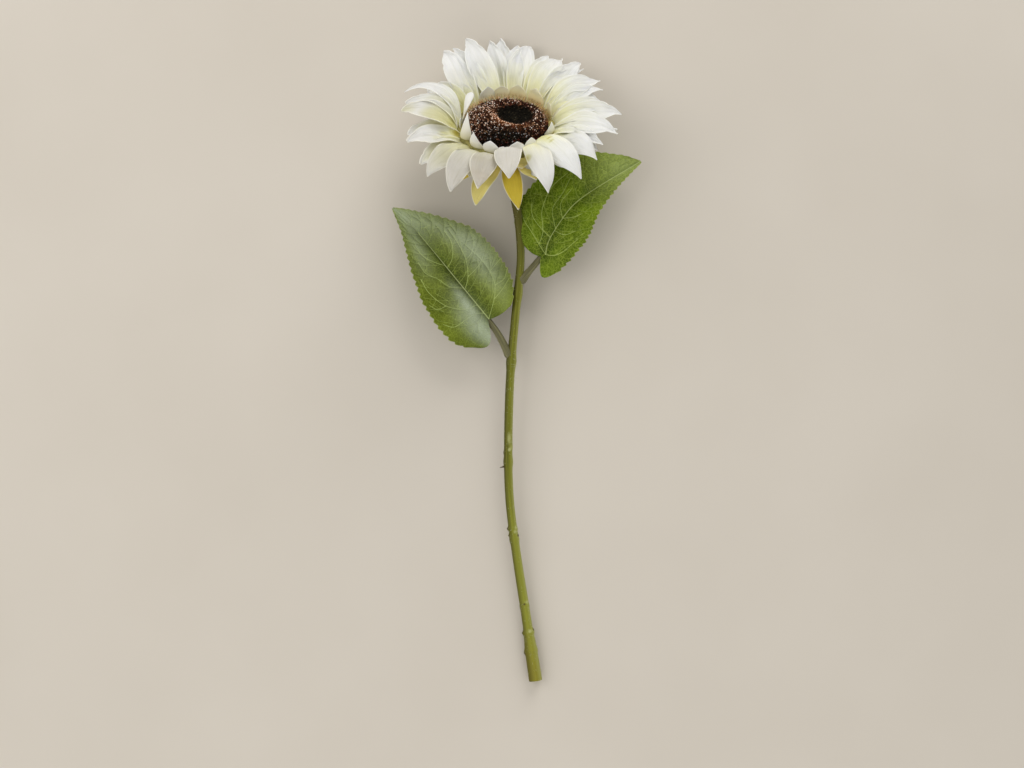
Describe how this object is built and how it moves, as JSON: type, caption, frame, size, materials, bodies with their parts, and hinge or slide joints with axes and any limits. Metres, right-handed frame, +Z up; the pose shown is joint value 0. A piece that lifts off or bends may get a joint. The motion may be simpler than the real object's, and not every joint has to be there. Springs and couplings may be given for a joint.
{
  "type": "cut sunflower",
  "caption": "Cream sunflower bloom with a dark domed disc, layered pointed petals, a green calyx, a gently curved stem and toothed heart-shaped leaves, lying on its side.",
  "frame": {"origin": "bottom centre of the box round the whole flower as it lies on a level surface", "axes": "+X to the right of the bloom when it is seen from above with the stem towards the viewer, +Y from the cut end of the stem to the bloom, +Z up from the surface"},
  "size_m": [0.182, 0.4724, 0.1015],
  "materials": {
    "petal": "matte",
    "disc": "matte",
    "calyx": "matte",
    "stem": "satin",
    "leaf": "satin"
  },
  "bodies": {
    "root": {"ray_petals": "petal", "disc": "disc", "calyx": "calyx", "stem": "stem", "leaf_left": "leaf", "leaf_right": "leaf"}
  },
  "joints": []
}
